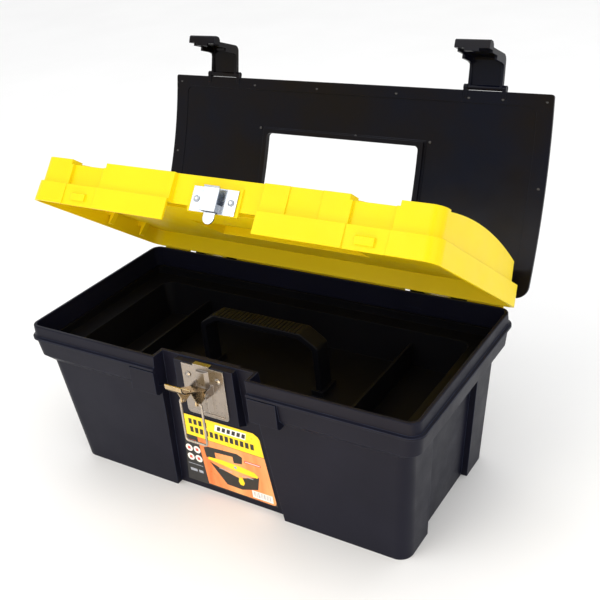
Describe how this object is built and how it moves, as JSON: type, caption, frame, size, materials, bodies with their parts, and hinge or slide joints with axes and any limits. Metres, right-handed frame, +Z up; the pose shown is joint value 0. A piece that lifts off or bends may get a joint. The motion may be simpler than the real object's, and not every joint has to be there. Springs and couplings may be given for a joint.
{
  "type": "toolbox with tray",
  "caption": "Hand toolbox: dark tub with a wire hasp, a lift-out tray with a loop handle, and a domed yellow lid with small bins under a hinged dark cover held by clips.",
  "frame": {"origin": "on the floor at the middle of the tub's foot, at the centre pad", "axes": "+X along the box to the right, +Y to the back, where the hinges are, +Z up; front, with the hasp, is -Y"},
  "size_m": [0.428, 0.3325, 0.3768],
  "materials": {
    "dark_plastic": "fine moulded texture",
    "cover_plastic": "smooth moulded",
    "yellow_plastic": "smooth moulded, semi-matt",
    "plated_steel": "bright plating",
    "pin_steel": "drawn steel",
    "printed_film": "printed label"
  },
  "bodies": {
    "tub_body": {"tub": "dark_plastic", "label": "printed_film", "hasp_plate": "plated_steel", "hasp_rivet_left": "plated_steel", "hasp_rivet_right": "plated_steel", "hasp_pin": "pin_steel", "lid_hinge_pin_left": "pin_steel", "lid_hinge_pin_right": "pin_steel"},
    "tray_body": {"tray": "dark_plastic", "tray_handle": "dark_plastic"},
    "lever_body": {"hasp_lever": "plated_steel"},
    "bail_body": {"hasp_bail": "plated_steel"},
    "lid_body": {"lid": "yellow_plastic", "keeper": "plated_steel", "keeper_rivet_left": "plated_steel", "keeper_rivet_right": "plated_steel", "cover_hinge_pin_left": "pin_steel", "cover_hinge_pin_right": "pin_steel", "handle_pin_left": "pin_steel", "handle_pin_right": "pin_steel"},
    "cover_body": {"cover": "cover_plastic"},
    "latch_left_body": {"cover_latch_left": "cover_plastic"},
    "latch_right_body": {"cover_latch_right": "cover_plastic"},
    "carry_handle_body": {"carry_handle": "dark_plastic"}
  },
  "joints": [
    {"name": "lid_hinge", "type": "hinge", "parent": "tub_body", "child": "lid_body", "pos_m": [0, 0.1157, 0.1438], "axis": [-1, 0, 0], "range_deg": [-36.2, 60]},
    {"name": "cover_hinge", "type": "hinge", "parent": "lid_body", "child": "cover_body", "pos_m": [0, 0.11141, 0.17383], "axis": [-1, 0, 0], "range_deg": [-74, 0]},
    {"name": "latch_left", "type": "hinge", "parent": "cover_body", "child": "latch_left_body", "pos_m": [0, 0.19056, 0.32553], "axis": [-1, 0, 0], "range_deg": [-0.5, 50]},
    {"name": "latch_right", "type": "hinge", "parent": "cover_body", "child": "latch_right_body", "pos_m": [0, 0.19056, 0.32553], "axis": [-1, 0, 0], "range_deg": [-5, 50]},
    {"name": "hasp_lever", "type": "hinge", "parent": "tub_body", "child": "lever_body", "pos_m": [0, -0.102, 0.13], "axis": [-1, 0, 0], "range_deg": [-115.6, 0]},
    {"name": "hasp_bail", "type": "hinge", "parent": "lever_body", "child": "bail_body", "pos_m": [0, -0.11306, 0.12776], "axis": [-1, 0, 0], "range_deg": [0, 291]},
    {"name": "carry_handle", "type": "hinge", "parent": "lid_body", "child": "carry_handle_body", "pos_m": [0, 0.04253, 0.23973], "axis": [1, 0, 0], "range_deg": [0, 90]},
    {"name": "tray_lift", "type": "slide", "parent": "tub_body", "child": "tray_body", "axis": [0, 0, 1], "range_m": [0, 0.028]}
  ],
  "couplings": [
    {"joint": "hasp_bail", "follows": "hasp_lever", "ratio": -2.5078}
  ]
}
